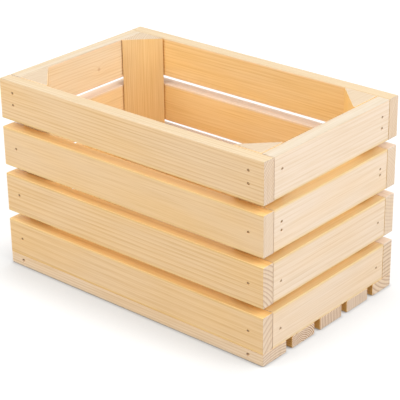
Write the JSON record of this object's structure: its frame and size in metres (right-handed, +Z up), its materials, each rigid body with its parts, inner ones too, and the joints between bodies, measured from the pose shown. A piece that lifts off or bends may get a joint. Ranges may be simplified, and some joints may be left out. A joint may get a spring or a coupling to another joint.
{
  "type": "slatted wooden storage crate",
  "caption": "Open rectangular crate of planed softwood slats nailed to triangular corner posts over a slatted floor, for storing and carrying loose goods.",
  "frame": {"origin": "on the ground, under the middle of the crate", "axes": "+X along the long sides, to the right seen from the front; +Y from front to back; +Z up"},
  "size_m": [0.326, 0.202, 0.2],
  "materials": {
    "wall_wood": "planed softwood, untreated",
    "post_wood": "planed softwood, untreated",
    "floor_wood": "planed softwood, untreated",
    "nail_steel": "bright steel brad, dulled"
  },
  "bodies": {
    "root": {"floor_slat_1": "floor_wood", "floor_slat_2": "floor_wood", "floor_slat_3": "floor_wood", "floor_slat_4": "floor_wood", "floor_slat_5": "floor_wood", "corner_post_front_left": "post_wood", "corner_post_front_right": "post_wood", "corner_post_back_right": "post_wood", "corner_post_back_left": "post_wood", "front_slat_1": "wall_wood", "front_slat_2": "wall_wood", "front_slat_3": "wall_wood", "front_slat_4": "wall_wood", "right_slat_1": "wall_wood", "right_slat_2": "wall_wood", "right_slat_3": "wall_wood", "right_slat_4": "wall_wood", "back_slat_1": "wall_wood", "back_slat_2": "wall_wood", "back_slat_3": "wall_wood", "back_slat_4": "wall_wood", "left_slat_1": "wall_wood", "left_slat_2": "wall_wood", "left_slat_3": "wall_wood", "left_slat_4": "wall_wood", "nail_front_1_left": "nail_steel", "nail_front_1_right": "nail_steel", "nail_front_2_left": "nail_steel", "nail_front_2_right": "nail_steel", "nail_front_3_left": "nail_steel", "nail_front_3_right": "nail_steel", "nail_front_4_left": "nail_steel", "nail_front_4_right": "nail_steel", "nail_right_1_front": "nail_steel", "nail_right_1_back": "nail_steel", "nail_right_2_front": "nail_steel", "nail_right_2_back": "nail_steel", "nail_right_3_front": "nail_steel", "nail_right_3_back": "nail_steel", "nail_right_4_front": "nail_steel", "nail_right_4_back": "nail_steel", "nail_back_1_right": "nail_steel", "nail_back_1_left": "nail_steel", "nail_back_2_right": "nail_steel", "nail_back_2_left": "nail_steel", "nail_back_3_right": "nail_steel", "nail_back_3_left": "nail_steel", "nail_back_4_right": "nail_steel", "nail_back_4_left": "nail_steel", "nail_left_1_back": "nail_steel", "nail_left_1_front": "nail_steel", "nail_left_2_back": "nail_steel", "nail_left_2_front": "nail_steel", "nail_left_3_back": "nail_steel", "nail_left_3_front": "nail_steel", "nail_left_4_back": "nail_steel", "nail_left_4_front": "nail_steel"}
  },
  "joints": []
}
